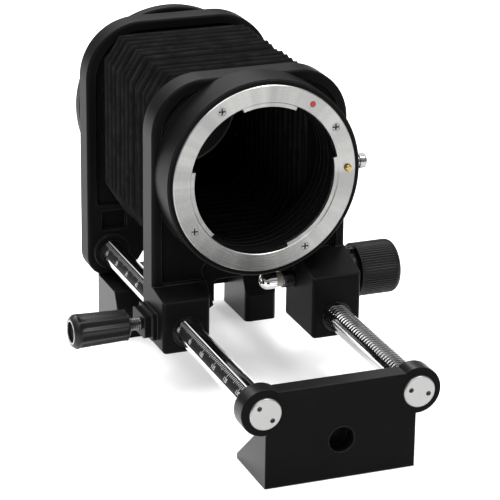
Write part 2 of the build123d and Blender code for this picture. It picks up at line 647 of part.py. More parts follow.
# ---------------------------------------------------------------- rack drive
def involute_point(base_radius, radius, turn):
    """Point of an involute flank at a radius, turned about the centre."""
    pressure = acos(min(1.0, base_radius / radius))
    angle = turn + tan(pressure) - pressure
    return radius * cos(angle), radius * sin(angle)


def pinion_outline():
    """Involute pinion outline about its own centre, with a tooth gap on the local -v axis."""
    pitch = PINION_PITCH_RADIUS
    base = pitch * cos(PRESSURE_ANGLE)
    tip = pitch + GEAR_MODULE
    root = pitch - 1.25 * GEAR_MODULE
    half_tooth = pi / (2 * PINION_TEETH) - BACKLASH / (2 * pitch)
    flank_turn = half_tooth + tan(PRESSURE_ANGLE) - PRESSURE_ANGLE
    steps = 4
    radii = [base + (tip - base) * i / steps for i in range(steps + 1)]
    points = []
    for tooth in range(PINION_TEETH):
        middle = -pi / 2 + (tooth + 0.5) * 2 * pi / PINION_TEETH
        rising = [involute_point(base, r, middle - flank_turn) for r in radii]
        falling = [(r, -middle - flank_turn) for r in reversed(radii)]
        points.append((root * cos(middle - flank_turn), root * sin(middle - flank_turn)))
        points += rising
        for radius, turn in falling:
            x, y = involute_point(base, radius, turn)
            points.append((x, -y))
        points.append((root * cos(middle + flank_turn), root * sin(middle + flank_turn)))
    return polygon(points)


def make_pinion():
    """Pinion with its shaft: the knob end is thicker than the inner end."""
    teeth = extrude_x(Pos(PINION_Y, PINION_Z) * pinion_outline(), PINION_X)
    thick = bar_x(SHAFT_RADIUS, PINION_Y, PINION_Z, (PINION_X[1], KNOB_X[1] - 4))
    thin = bar_x(SHAFT_TIP_RADIUS, PINION_Y, PINION_Z, (COLLAR_X[0], PINION_X[0]))
    return teeth + thick + thin - bar_x(1.0, PINION_Y, PINION_Z, (COLLAR_X[0] - 1, COLLAR_X[0] + 5))


COLLAR_X = (11.9, 15.5)
WASHER_X = (9.9, 11.9)
END_SCREW_X = (4.9, 9.9)


def make_pinion_bushes():
    outer_x = (PINION_X[1] + 0.3, HALF_WIDTH + 0.5)
    outer = bar_x(PINION_CAVITY_RADIUS, PINION_Y, PINION_Z, outer_x)
    outer -= bar_x(SHAFT_RADIUS + RUNNING_CLEARANCE, PINION_Y, PINION_Z, (outer_x[0] - 1, outer_x[1] + 1))
    inner_x = (BLOCK_INNER_X[1] - 0.3, PINION_X[0] - 0.4)
    inner = bar_x(3.2, PINION_Y, PINION_Z, inner_x)
    inner -= bar_x(SHAFT_TIP_RADIUS + RUNNING_CLEARANCE, PINION_Y, PINION_Z, (inner_x[0] - 1, inner_x[1] + 1))
    return group([outer, inner])


def make_pinion_end_collar():
    collar = bar_x(2.9, PINION_Y, PINION_Z, COLLAR_X)
    collar = chamfer(collar.edges().group_by(Axis.X)[0], 0.3)
    return collar - bar_x(SHAFT_TIP_RADIUS, PINION_Y, PINION_Z, (COLLAR_X[0] - 1, COLLAR_X[1] + 1))


def make_pinion_end_washer():
    washer = bar_x(2.4, PINION_Y, PINION_Z, WASHER_X)
    return washer - bar_x(1.0, PINION_Y, PINION_Z, (WASHER_X[0] - 1, WASHER_X[1] + 1))


def make_pinion_end_screw():
    """Domed retaining screw with a cross recess."""
    head = bar_x(2.75, PINION_Y, PINION_Z, END_SCREW_X)
    head = fillet(head.edges().group_by(Axis.X)[0], 2.3)
    head += bar_x(1.0, PINION_Y, PINION_Z, (END_SCREW_X[1], COLLAR_X[0] + 4))
    for half_y, half_z in ((1.5, 0.3), (0.3, 1.5)):
        slot_y = (PINION_Y - half_y, PINION_Y + half_y)
        slot_z = (PINION_Z - half_z, PINION_Z + half_z)
        head -= box((END_SCREW_X[0] - 1, END_SCREW_X[0] + 1.2), slot_y, slot_z)
    return head


def make_focus_knob():
    knob = bar_x(KNOB_RADIUS, PINION_Y, PINION_Z, KNOB_X)
    knob = fillet(knob.edges().group_by(Axis.X)[-1], 2.2)
    knob = chamfer(knob.edges().group_by(Axis.X)[0], 0.4)
    knob += bar_x(KNOB_RADIUS - 0.5, PINION_Y, PINION_Z, (KNOB_COLLAR_X, KNOB_X[0]))
    knob -= bar_x(SHAFT_RADIUS, PINION_Y, PINION_Z, (KNOB_COLLAR_X - 1, KNOB_X[1] - 4))
    return knob - bar_z(1.25, KNOB_COLLAR_X + 2, PINION_Y, (PINION_Z, PINION_Z + KNOB_RADIUS + 1))


def make_focus_knob_grub():
    grub = bar_z(1.25, KNOB_COLLAR_X + 2, PINION_Y, (PINION_Z + SHAFT_RADIUS, PINION_Z + KNOB_RADIUS - 1))
    socket = extrude(RegularPolygon(0.7, 6), 1.2)
    return grub - Pos(KNOB_COLLAR_X + 2, PINION_Y, PINION_Z + KNOB_RADIUS - 2.2) * socket


# ---------------------------------------------------------------- carriage lock
def make_lock_knob():
    knob = bar_x(LOCK_KNOB_RADIUS, LOCK_Y, ROD_HEIGHT, LOCK_KNOB_X)
    knob = chamfer(knob.edges().group_by(Axis.X)[0], 1.1)
    knob = chamfer(knob.edges().group_by(Axis.X)[-1], 0.7)
    for index in range(LOCK_FLUTES):
        angle = 2 * pi * (index + 0.5) / LOCK_FLUTES
        y = LOCK_Y + (LOCK_KNOB_RADIUS + 0.35) * cos(angle)
        z = ROD_HEIGHT + (LOCK_KNOB_RADIUS + 0.35) * sin(angle)
        knob -= bar_x(1.15, y, z, (LOCK_KNOB_X[0] + 1.6, LOCK_KNOB_X[1] + 1))
    knob -= bar_x(3.4, LOCK_Y, ROD_HEIGHT, (LOCK_KNOB_X[0] - 1, LOCK_KNOB_X[0] + 1.4))
    return knob - bar_x(LOCK_SCREW_RADIUS, LOCK_Y, ROD_HEIGHT, (LOCK_KNOB_X[0] + 5, LOCK_KNOB_X[1] + 1))


def make_lock_knob_cap():
    cap = bar_x(3.4, LOCK_Y, ROD_HEIGHT, (LOCK_KNOB_X[0] + 0.8, LOCK_KNOB_X[0] + 1.4))
    return cap


def make_lock_screw():
    tip_x = -ROD_X - ROD_RADIUS - 0.3
    screw = bar_x(LOCK_SCREW_RADIUS, LOCK_Y, ROD_HEIGHT, (LOCK_KNOB_X[0] + 5, tip_x))
    return chamfer(screw.edges().group_by(Axis.X)[-1], 0.5)


# ---------------------------------------------------------------- lens release
def make_lens_lock_pin():
    pin = bar_y(LOCK_PIN_RADIUS, LOCK_PIN_X, LOCK_PIN_Z, (RING_FRONT_Y - 1.1, RING_FRONT_Y + 8))
    return fillet(pin.edges().group_by(Axis.Y)[0], 0.5)


def make_pin_spring():
    """Envelope of the return spring behind the pin."""
    y = (RING_FRONT_Y + 8.05, FRONT_FACE_Y - 1.05)
    spring = bar_y(LOCK_PIN_RADIUS, LOCK_PIN_X, LOCK_PIN_Z, y)
    return spring - bar_y(0.6, LOCK_PIN_X, LOCK_PIN_Z, (y[0] - 1, y[1] + 1))


def make_lens_release_button():
    head = bar_x(BUTTON_RADIUS, BUTTON_Y, LOCK_PIN_Z, (BARREL_RADIUS + 1.2, BARREL_RADIUS + 3.6))
    head = fillet(head.edges().group_by(Axis.X)[-1], 0.7)
    neck = bar_x(BUTTON_RADIUS - 0.4, BUTTON_Y, LOCK_PIN_Z, (BARREL_RADIUS + 0.7, BARREL_RADIUS + 1.2))
    stem = bar_x(BUTTON_STEM_RADIUS, BUTTON_Y, LOCK_PIN_Z, (LOCK_PIN_X + 2.9, BARREL_RADIUS + 0.7))
    return head + neck + stem


# ---------------------------------------------------------------- camera mount
HUB_FRONT_Y = REAR_FACE_Y + 3.2
FLANGE_REAR_Y = FLANGE_FRONT_Y + FLANGE_THICKNESS
MALE_REAR_Y = FLANGE_REAR_Y + MALE_RING_THICKNESS + MALE_LENGTH
RETAINER_SCREW_ANGLES = (90.0, 210.0, 330.0)
RETAINER_SCREW_CIRCLE = 24.0


def make_camera_flange():
    flange = extrude_y(annulus(FLANGE_RADIUS, MOUNT_LIGHT_RADIUS), (FLANGE_FRONT_Y, FLANGE_REAR_Y))
    circles = flange.edges().filter_by(GeomType.CIRCLE)
    flange = fillet(circles.filter_by(lambda e: e.radius > FLANGE_RADIUS - 1), 0.8)
    flange += extrude_y(annulus(MOUNT_HUB_RADIUS, MOUNT_LIGHT_RADIUS), (HUB_FRONT_Y, FLANGE_FRONT_Y))
    for angle in RETAINER_SCREW_ANGLES:
        x, z = on_circle(RETAINER_SCREW_CIRCLE, angle)
        flange -= bar_y(0.8, x, z, (HUB_FRONT_Y - 1, HUB_FRONT_Y + 3))
    for angle in RING_SCREW_ANGLES:
        x, z = on_circle(RING_SCREW_CIRCLE, angle)
        flange -= bar_y(0.7, x, z, (FLANGE_REAR_Y - 3.4, FLANGE_REAR_Y + 1))
    x, z = on_circle(FLANGE_RADIUS - 1.4, 90)
    return flange - bar_y(0.8, x, z, (FLANGE_REAR_Y - 0.4, FLANGE_REAR_Y + 1))


def make_mount_retainer():
    """Ring on the hub's inner end that keeps the flange in the rear standard."""
    y = (HUB_FRONT_Y - 1.2, HUB_FRONT_Y)
    ring = extrude_y(annulus(RETAINER_RADIUS, MOUNT_LIGHT_RADIUS), y)
    for angle in RETAINER_SCREW_ANGLES:
        x, z = on_circle(RETAINER_SCREW_CIRCLE, angle)
        ring -= bar_y(0.8, x, z, (y[0] - 1, y[1] + 1))
    return ring


def make_retainer_screws():
    places = [on_circle(RETAINER_SCREW_CIRCLE, angle) for angle in RETAINER_SCREW_ANGLES]
    y = (HUB_FRONT_Y - 1.2, HUB_FRONT_Y + 3)
    return group(bar_y(0.8, x, z, y) for x, z in places)


def make_camera_bayonet():
    """Male bayonet ring with three lugs."""
    base_y = (FLANGE_REAR_Y, FLANGE_REAR_Y + MALE_RING_THICKNESS)
    ring = extrude_y(annulus(MALE_RING_RADIUS, MOUNT_LIGHT_RADIUS), base_y)
    ring = chamfer(ring.edges().group_by(Axis.Y)[-1].sort_by(SortBy.RADIUS)[-1], 0.25)
    ring += extrude_y(annulus(MALE_TUBE_RADIUS, MOUNT_LIGHT_RADIUS), (base_y[1], MALE_REAR_Y))
    for span in LUG_SPANS:
        lug = sector(MALE_LUG_RADIUS, MOUNT_LIGHT_RADIUS + 0.5, span)
        ring += extrude_y(lug, (MALE_REAR_Y - 0.3 - LUG_THICKNESS, MALE_REAR_Y - 0.3))
    for angle in RING_SCREW_ANGLES:
        x, z = on_circle(RING_SCREW_CIRCLE, angle)
        ring -= bar_y(0.7, x, z, (base_y[0] - 1, base_y[1] + 1))
        ring -= bar_y(1.35, x, z, (base_y[1] - 0.9, base_y[1] + 1))
    return ring


def make_camera_bayonet_screws():
    head_y = FLANGE_REAR_Y + MALE_RING_THICKNESS - 0.05
    places = [on_circle(RING_SCREW_CIRCLE, angle) for angle in RING_SCREW_ANGLES]
    return group(cross_screw_y(x, z, head_y, 1.35, 0.85, 0.7, 3.6, facing=1) for x, z in places)


def make_camera_index_dot():
    x, z = on_circle(FLANGE_RADIUS - 1.4, 90)
    return bar_y(0.8, x, z, (FLANGE_REAR_Y - 0.4, FLANGE_REAR_Y + 0.1))


# ---------------------------------------------------------------- nodes
NODES = {
    "scale_rod": make_scale_rod,
    "scale_strip": make_scale_strip,
    "rack_rod": make_rack_rod,
    "front_end_plate": make_front_end_plate,
    "rod_end_nuts": make_rod_end_nuts,
    "rear_standard": make_rear_standard,
    "rod_set_screws": make_rod_set_screws,
    "rear_foot": make_rear_foot,
    "rear_foot_screws": make_rear_foot_screws,
    "bellows": make_bellows,
    "bellows_rear_frame": lambda: make_bellows_frame(REAR_FRAME_Y),
    "bellows_rear_screws": lambda: make_bellows_screws(REAR_FRAME_Y[0], -1),
    "front_standard": make_front_standard,
    "rod_bushes": make_rod_bushes,
    "bellows_front_frame": lambda: make_bellows_frame(FRONT_FRAME_Y),
    "bellows_front_screws": lambda: make_bellows_screws(FRONT_FRAME_Y[1], 1),
    "lens_barrel": make_lens_barrel,
    "lens_bayonet_ring": make_lens_bayonet_ring,
    "bayonet_screws": make_bayonet_screws,
    "index_dot": make_index_dot,
    "pinion_bushes": make_pinion_bushes,
    "pin_spring": make_pin_spring,
    "pinion": make_pinion,
    "pinion_end_collar": make_pinion_end_collar,
    "pinion_end_washer": make_pinion_end_washer,
    "pinion_end_screw": make_pinion_end_screw,
    "focus_knob": make_focus_knob,
    "focus_knob_grub": make_focus_knob_grub,
    "lock_knob": make_lock_knob,
    "lock_knob_cap": make_lock_knob_cap,
    "lock_screw": make_lock_screw,
    "lens_lock_pin": make_lens_lock_pin,
    "lens_release_button": make_lens_release_button,
    "camera_flange": make_camera_flange,
    "mount_retainer": make_mount_retainer,
    "retainer_screws": make_retainer_screws,
    "camera_bayonet": make_camera_bayonet,
    "camera_bayonet_screws": make_camera_bayonet_screws,
    "camera_index_dot": make_camera_index_dot,
}

os.makedirs("parts", exist_ok=True)
for name, make in NODES.items():
    export_step(make(), f"parts/{name}.step")
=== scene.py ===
"""Looks of the macro bellows extension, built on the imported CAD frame.

Frame: +X right seen from the lens side, +Y towards the camera body, +Z up. Metres.
"""

from math import cos, floor, pi, radians, sin, sqrt

import bmesh
import bpy
from mathutils import Matrix, Vector, noise


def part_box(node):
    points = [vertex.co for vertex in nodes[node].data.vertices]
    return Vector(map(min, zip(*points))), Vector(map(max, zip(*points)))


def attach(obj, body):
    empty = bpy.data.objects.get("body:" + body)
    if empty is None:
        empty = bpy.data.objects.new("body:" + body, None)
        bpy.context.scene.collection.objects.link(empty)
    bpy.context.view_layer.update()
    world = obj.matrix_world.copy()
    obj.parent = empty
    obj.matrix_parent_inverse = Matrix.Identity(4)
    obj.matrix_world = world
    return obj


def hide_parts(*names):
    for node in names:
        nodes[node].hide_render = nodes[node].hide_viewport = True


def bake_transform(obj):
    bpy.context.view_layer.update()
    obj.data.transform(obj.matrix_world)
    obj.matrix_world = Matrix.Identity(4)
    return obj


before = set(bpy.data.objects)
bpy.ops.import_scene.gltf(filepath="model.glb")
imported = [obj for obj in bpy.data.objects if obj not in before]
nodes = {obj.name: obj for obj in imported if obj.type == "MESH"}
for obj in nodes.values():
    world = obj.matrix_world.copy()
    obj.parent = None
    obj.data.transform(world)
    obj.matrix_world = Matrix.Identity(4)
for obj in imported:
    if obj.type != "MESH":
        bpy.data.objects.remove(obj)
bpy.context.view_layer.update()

MM = 0.001


# ---------------------------------------------------------------- places read from the CAD
def middle(node):
    """Middle of a CAD node's box."""
    low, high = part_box(node)
    return (low + high) / 2


AXIS_Z = middle("lens_bayonet_ring").z
ROD_X = middle("rack_rod").x
ROD_Z = middle("scale_rod").z
ROD_RADIUS = (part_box("scale_rod")[1].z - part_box("scale_rod")[0].z) / 2


# ---------------------------------------------------------------- material building blocks
NOISE_ROUGHNESS = 0.55
MIX_COLOR_SOCKETS = (6, 7)    # places of a Mix node's colour inputs A and B
MIX_COLOR_OUTPUT = 2


class Material:
    """A node material with a Principled shader and its object coordinates at hand."""

    def __init__(self, name, color, roughness, metallic=0.0, specular=0.5):
        self.data = bpy.data.materials.new(name)
        self.data.use_nodes = True
        self.data.diffuse_color = (*color, 1)
        self.shader = self.data.node_tree.nodes["Principled BSDF"]
        self.set("Base Color", (*color, 1))
        self.set("Roughness", roughness)
        self.set("Metallic", metallic)
        self.set("Specular IOR Level", specular)
        self.coordinates = self.add("ShaderNodeTexCoord").outputs["Object"]
        self.normal = None

    def set(self, socket, value):
        """Sets a socket of the shader to a plain value."""
        self.shader.inputs[socket].default_value = value

    def drive(self, socket, source):
        """Lets a node's output vary a socket of the shader over the surface."""
        self.link(source, self.shader.inputs[socket])

    def add(self, kind, **values):
        """New node; values set its properties."""
        new = self.data.node_tree.nodes.new(kind)
        for key, value in values.items():
            setattr(new, key, value)
        return new

    def link(self, source, target):
        """Joins an output socket to an input socket."""
        self.data.node_tree.links.new(source, target)

    def math(self, operation, a, b=None):
        """Math node; a and b are sockets or numbers."""
        new = self.add("ShaderNodeMath", operation=operation)
        for place, value in enumerate((a, b)):
            if value is None:
                continue
            if isinstance(value, (int, float)):
                new.inputs[place].default_value = value
            else:
                self.link(value, new.inputs[place])
        return new.outputs[0]

    def stretched(self, x, y, z):
        """Object coordinates scaled on each axis."""
        mapping = self.add("ShaderNodeMapping")
        mapping.inputs["Scale"].default_value = (x, y, z)
        self.link(self.coordinates, mapping.inputs["Vector"])
        return mapping.outputs[0]

    def coordinate(self, axis):
        """One object coordinate: X, Y or Z."""
        parts = self.add("ShaderNodeSeparateXYZ")
        self.link(self.coordinates, parts.inputs[0])
        return parts.outputs[axis]

    def noise(self, scale, detail=3.0, vector=None):
        """Noise over the object coordinates, or over another vector made from them."""
        new = self.add("ShaderNodeTexNoise")
        new.inputs["Scale"].default_value = scale
        new.inputs["Detail"].default_value = detail
        new.inputs["Roughness"].default_value = NOISE_ROUGHNESS
        self.link(vector or self.coordinates, new.inputs["Vector"])
        return new.outputs["Fac"]

    def spread(self, value, low, high, from_low=0.3, from_high=0.7):
        """Value mapped from one range onto another."""
        new = self.add("ShaderNodeMapRange")
        new.inputs["From Min"].default_value = from_low
        new.inputs["From Max"].default_value = from_high
        new.inputs["To Min"].default_value = low
        new.inputs["To Max"].default_value = high
        self.link(value, new.inputs["Value"])
        return new.outputs[0]

    def blend_color(self, factor, low, high):
        """Colour between low and high; each is a colour or a socket."""
        new = self.add("ShaderNodeMix", data_type="RGBA")
        self.link(factor, new.inputs["Factor"])
        for place, value in zip(MIX_COLOR_SOCKETS, (low, high)):
            if isinstance(value, tuple):
                new.inputs[place].default_value = (*value, 1)
            else:
                self.link(value, new.inputs[place])
        return new.outputs[MIX_COLOR_OUTPUT]

    def soften_edges(self, radius):
        """Sharp edges catch light as if rounded by the radius. Gives a mask of the edges."""
        bevel = self.add("ShaderNodeBevel", samples=6)
        bevel.inputs["Radius"].default_value = radius
        self.normal = bevel.outputs["Normal"]
        dot = self.add("ShaderNodeVectorMath", operation="DOT_PRODUCT")
        self.link(bevel.outputs["Normal"], dot.inputs[0])
        self.link(self.add("ShaderNodeNewGeometry").outputs["Normal"], dot.inputs[1])
        self.link(self.normal, self.shader.inputs["Normal"])
        return self.spread(dot.outputs["Value"], 1.0, 0.0, 0.88, 0.995)

    def bump(self, height, strength, distance):
        """Relief from a height, on top of any softened edges."""
        new = self.add("ShaderNodeBump")
        new.inputs["Strength"].default_value = strength
        new.inputs["Distance"].default_value = distance
        self.link(height, new.inputs["Height"])
        if self.normal is not None:
            self.link(self.normal, new.inputs["Normal"])
        self.normal = new.outputs[0]
        self.link(self.normal, self.shader.inputs["Normal"])

    def radius_about_y(self, x, z, both_sides=False):
        """Distance from an axis along Y through (x, z), or from that axis and its mirror image."""
        across = self.coordinate("X")
        if both_sides:
            across = self.math("ABSOLUTE", across)
        across = self.math("SUBTRACT", across, x)
        up = self.math("SUBTRACT", self.coordinate("Z"), z)
        across_squared = self.math("MULTIPLY", across, across)
        up_squared = self.math("MULTIPLY", up, up)
        return self.math("SQRT", self.math("ADD", across_squared, up_squared))

    def depth_behind(self, y):
        """0 at the front face y, 1 from 0.4 mm behind it."""
        return self.spread(self.coordinate("Y"), 0.0, 1.0, y + 0.15 * MM, y + 0.4 * MM)

    def angle_about_y(self, z):
        """Angle round an axis along Y at height z, in radians."""
        up = self.math("SUBTRACT", self.coordinate("Z"), z)
        return self.math("ARCTAN2", up, self.coordinate("X"))

    def noise_along(self, value, scale, detail):
        """Noise that varies only with one value, such as a radius or an angle."""
        new = self.add("ShaderNodeTexNoise", noise_dimensions="1D")
        new.inputs["Scale"].default_value = scale
        new.inputs["Detail"].default_value = detail
        self.link(value, new.inputs["W"])
        return new.outputs["Fac"]


def paint(names, material):
    """Gives a material to CAD nodes."""
    for name in names:
        mesh = nodes[name].data
        mesh.materials.clear()
        mesh.materials.append(material.data)


# ---------------------------------------------------------------- materials
def shade_of(color, factor):
    """The colour made darker or lighter, kept below white."""
    return tuple(min(1.0, c * factor) for c in color)


def black_anodised(name, roughness=0.3, edge=0.3, gloss=0.22, dull_radius=0.0):
    """Satin black anodised metal: fine grain, a sheen at low angles, edges worn and lightened in the
    colour as a painted edge highlight.

    Edge is the radius in millimetres that edges seem to have. Within the dull radius of the
    optical axis the metal is blackened and matt, against stray light.
    """
    m = Material(name, (0.006, 0.006, 0.0065), roughness, specular=0.1)
    facing = m.add("ShaderNodeLayerWeight").outputs["Facing"]
    edges = m.soften_edges(edge * MM)
    edge_gloss = m.math("MULTIPLY", edges, 0.2)
    sheen = m.math("MAXIMUM", m.spread(facing, 0.02, gloss, 0.2, 0.7), edge_gloss)
    cloud = m.noise(60.0, 2.0)
    base = m.blend_color(cloud, (0.004, 0.004, 0.0045), (0.008, 0.008, 0.0085))
    # painted edge highlight: the edge mask lightens the colour towards grey, partly real wear of the
    # edges and partly light caught by their rounding
    paler_mask = m.math("MULTIPLY", edges, 0.5)
    m.drive("Base Color", m.blend_color(paler_mask, base, (0.07, 0.07, 0.072)))
    rough = m.spread(cloud, roughness - 0.02, roughness + 0.03, 0.0, 1.0)
    if dull_radius > 0:
        from_axis = m.radius_about_y(0, AXIS_Z)
        inside = m.spread(from_axis, 1.0, 0.0, dull_radius - 0.2 * MM, dull_radius)
        rough = m.math("MAXIMUM", rough, m.math("MULTIPLY", inside, 0.85))
        sheen = m.math("MULTIPLY", sheen, m.math("SUBTRACT", 1.0, inside))
    m.drive("Specular IOR Level", sheen)
    m.drive("Roughness", rough)
    m.bump(m.noise(2600.0, 2.0), 0.08, 0.02 * MM)
    return m


def polished_rod(name, side):
    """Polished plated rod, faintly drawn along its length, with painted shade darkening any cut in
    it.
    """
    m = Material(name, (0.72, 0.72, 0.73), 0.12, metallic=1.0)
    lines = m.noise(1.0, 3.0, m.stretched(2600, 25, 2600))
    m.drive("Roughness", m.spread(lines, 0.07, 0.18))
    plated = m.blend_color(m.noise(160.0), (0.66, 0.66, 0.67), (0.78, 0.78, 0.79))
    radius = m.radius_about_y(side * ROD_X, ROD_Z)
    # painted shade: the colour goes near black in the rack's tooth cuts and any other cut below the
    # rod's surface
    cut_shade = m.spread(radius, 1.0, 0.0, ROD_RADIUS - 0.75 * MM, ROD_RADIUS - 0.1 * MM)
    m.drive("Base Color", m.blend_color(cut_shade, plated, (0.02, 0.02, 0.02)))
    m.bump(lines, 0.04, 0.01 * MM)
    return m


def turned_face(name, color, radius_of, roughness=0.3, anisotropy=0.6, painted_reflection_fans=0.0):
    """Bright face turned on a lathe: fine concentric marks and, when asked for, sectors darkened in
    the colour as a painted reflection pattern.
    """
    m = Material(name, color, roughness, metallic=1.0)
    m.soften_edges(0.12 * MM)
    m.set("Anisotropic", anisotropy)
    tangent = m.add("ShaderNodeTangent", direction_type="RADIAL", axis="Y")
    m.drive("Tangent", tangent.outputs[0])
    marks = m.noise_along(radius_of(m), 5200.0, 4.0)
    m.drive("Roughness", m.spread(marks, roughness - 0.06, roughness + 0.08))
    turned = m.blend_color(marks, shade_of(color, 0.9), shade_of(color, 1.08))
    if painted_reflection_fans > 0:
        # painted reflection: darker sectors round the axis stand in for the streaks of reflection on
        # a turned face
        fan = m.noise_along(m.angle_about_y(AXIS_Z), 2.4, 3.0)
        shaded = m.spread(fan, painted_reflection_fans, 0.0, 0.35, 0.65)
        turned = m.blend_color(shaded, turned, shade_of(color, 0.45))
    m.drive("Base Color", turned)
    m.bump(marks, 0.18, 0.012 * MM)
    return m


def smooth_metal(name, color, roughness, edge=0.1, head_y=None):
    """Metal of small hardware, with faint handling marks.

    With head_y, the face of a screw's head, the recesses behind that face are painted dark as painted
    shade.
    """
    m = Material(name, color, roughness, metallic=1.0)
    m.soften_edges(edge * MM)
    marks = m.noise(900.0, 4.0)
    m.drive("Roughness", m.spread(marks, roughness * 0.7, roughness * 1.5))
    base = m.blend_color(marks, shade_of(color, 0.86), color)
    if head_y is not None:
        # painted shade: colour near black in the recesses behind the head's face
        base = m.blend_color(m.depth_behind(head_y), base, (0.02, 0.02, 0.02))
    m.drive("Base Color", base)
    m.bump(marks, 0.08, 0.02 * MM)
    return m


def glossy_paint(name, color, roughness):
    """Thin paint fill with a slightly uneven surface."""
    m = Material(name, color, roughness)
    blotch = m.noise(2500.0, 2.0)
    m.drive("Base Color", m.blend_color(blotch, shade_of(color, 0.8), color))
    m.bump(blotch, 0.2, 0.02 * MM)
    return m


WEAVE_PITCH = 0.42 * MM


def pleated_cloth():
    """Coated bellows cloth: woven grain, lighter along the outer folds, partly worn and partly a
    painted highlight, and near black in the valleys as painted shade.
    """
    m = Material("bellows_cloth", (0.006, 0.006, 0.0065), 0.75, specular=0.06)
    fold = m.add("ShaderNodeAttribute", attribute_name="fold").outputs["Fac"]
    patches = m.spread(m.noise(220.0, 4.0), 0.3, 1.0)
    # painted shade and highlight: the colour goes near black between the folds and paler on the
    # ridges; the paler ridges are partly wear
    paler_mask = m.math("MULTIPLY", m.math("POWER", fold, 5.0), patches)
    m.drive("Base Color", m.blend_color(paler_mask, (0.0025, 0.0025, 0.003), (0.026, 0.026, 0.027)))
    m.drive("Roughness", m.spread(paler_mask, 0.74, 0.55, 0.0, 1.0))
    across, along, up = [
        m.math("SINE", m.math("MULTIPLY", m.coordinate(axis), 2 * pi / WEAVE_PITCH)) for axis in "XYZ"
    ]
    woven = m.math("MULTIPLY", m.math("ADD", across, up), along)
    uneven = m.math("MULTIPLY", m.noise(700.0, 3.0), 3.0)
    m.bump(m.math("ADD", woven, uneven), 0.35, 0.05 * MM)
    return m


def scale_print():
    """Black printed strip, slightly glossy."""
    m = Material("scale_print", (0.012, 0.012, 0.013), 0.45, specular=0.06)
    m.drive("Roughness", m.spread(m.noise(500.0, 3.0), 0.4, 0.5))
    m.bump(m.noise(1500.0, 2.0), 0.08, 0.02 * MM)
    return m


def moulded_grip(name, shade, specular):
    """Black moulded grip with a fine matt texture, worn paler along its edges."""
    color = (shade, shade, shade)
    m = Material(name, color, 0.36, specular=specular)
    edges = m.soften_edges(0.15 * MM)
    grain = m.noise(2600.0, 3.0)
    paler_mask = m.math("MULTIPLY", edges, m.spread(m.noise(300.0), 0.2, 0.8))
    m.drive("Base Color", m.blend_color(paler_mask, color, (0.04, 0.04, 0.042)))
    m.drive("Roughness", m.spread(grain, 0.3, 0.42))
    m.bump(grain, 0.2, 0.03 * MM)
    return m


black = black_anodised("black_anodised")
black_satin = black_anodised("black_satin", 0.36, 0.4, gloss=0.05)
black_throat = black_anodised("black_throat", 0.4, gloss=0.05, dull_radius=27.0 * MM)
black_inside = black_anodised("black_inside", 0.6, 0.15, gloss=0.03)
# the ring's darker sectors are a painted reflection pattern
ring_metal = turned_face(
    "turned_ring", (0.37, 0.37, 0.36), lambda m: m.radius_about_y(0, AXIS_Z), painted_reflection_fans=0.55
)
nut_metal = turned_face(
    "turned_nut", (0.34, 0.34, 0.335), lambda m: m.radius_about_y(ROD_X, ROD_Z, True), 0.38, 0.0
)
chrome = smooth_metal("bright_chrome", (0.86, 0.85, 0.83), 0.08)
steel = smooth_metal("plain_steel", (0.62, 0.62, 0.62), 0.28)
screw_steel = smooth_metal(
    "screw_steel", (0.22, 0.22, 0.215), 0.14, 0.15, head_y=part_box("bayonet_screws")[0].y
)
button_steel = smooth_metal("button_steel", (0.36, 0.36, 0.355), 0.2, 0.2)
thread_steel = smooth_metal("thread_steel", (0.12, 0.12, 0.125), 0.25)
dark_steel = smooth_metal("dark_steel", (0.06, 0.06, 0.065), 0.4)
collar_steel = smooth_metal("brushed_collar", (0.16, 0.16, 0.165), 0.3)
brass = smooth_metal("machined_brass", (0.42, 0.3, 0.09), 0.24)
bush_metal = smooth_metal("blackened_bush", (0.022, 0.022, 0.022), 0.3, 0.25)
cream = glossy_paint("cream_washer", (0.6, 0.56, 0.48), 0.25)
red = glossy_paint("index_red", (0.34, 0.012, 0.012), 0.4)
white = glossy_paint("scale_white", (0.7, 0.7, 0.68), 0.5)
# painted highlight: pale line beside the printed strip on the rod
highlight_line_white = glossy_paint("highlight_line_white", (0.72, 0.72, 0.71), 0.3)
cloth = pleated_cloth()
strip_black = scale_print()
lock_grip = moulded_grip("lock_grip", 0.007, 0.22)
focus_grip = moulded_grip("focus_grip", 0.006, 0.12)

paint(["front_end_plate", "rear_foot"], black)
paint(["front_standard"], black_satin)
paint(["rear_standard", "camera_flange", "lens_barrel"], black_throat)
paint(["bellows_front_frame", "bellows_rear_frame", "mount_retainer"], black_inside)
paint(["scale_rod"], polished_rod("scale_rod_metal", -1))
paint(["rack_rod"], polished_rod("rack_rod_metal", 1))
paint(["lens_bayonet_ring", "camera_bayonet"], ring_metal)
paint(["rod_end_nuts"], nut_metal)
paint(["bayonet_screws"], screw_steel)
paint(["pinion_end_screw"], chrome)
paint(["pinion_end_collar", "camera_bayonet_screws"], collar_steel)
paint(["lens_release_button"], button_steel)
paint(["rod_set_screws", "rear_foot_screws", "retainer_screws"], dark_steel)
paint(["bellows_front_screws", "bellows_rear_screws", "focus_knob_grub"], dark_steel)
paint(["lens_lock_pin", "pinion"], brass)
paint(["rod_bushes", "pinion_bushes"], bush_metal)
paint(["pinion_end_washer"], cream)
paint(["index_dot"], red)
paint(["camera_index_dot"], white)
paint(["scale_strip"], strip_black)
paint(["lock_knob_cap"], black_inside)


# ---------------------------------------------------------------- mesh building blocks
EDGE_ANGLE = 50    # degrees; sharper edges of turned pieces stay crisp


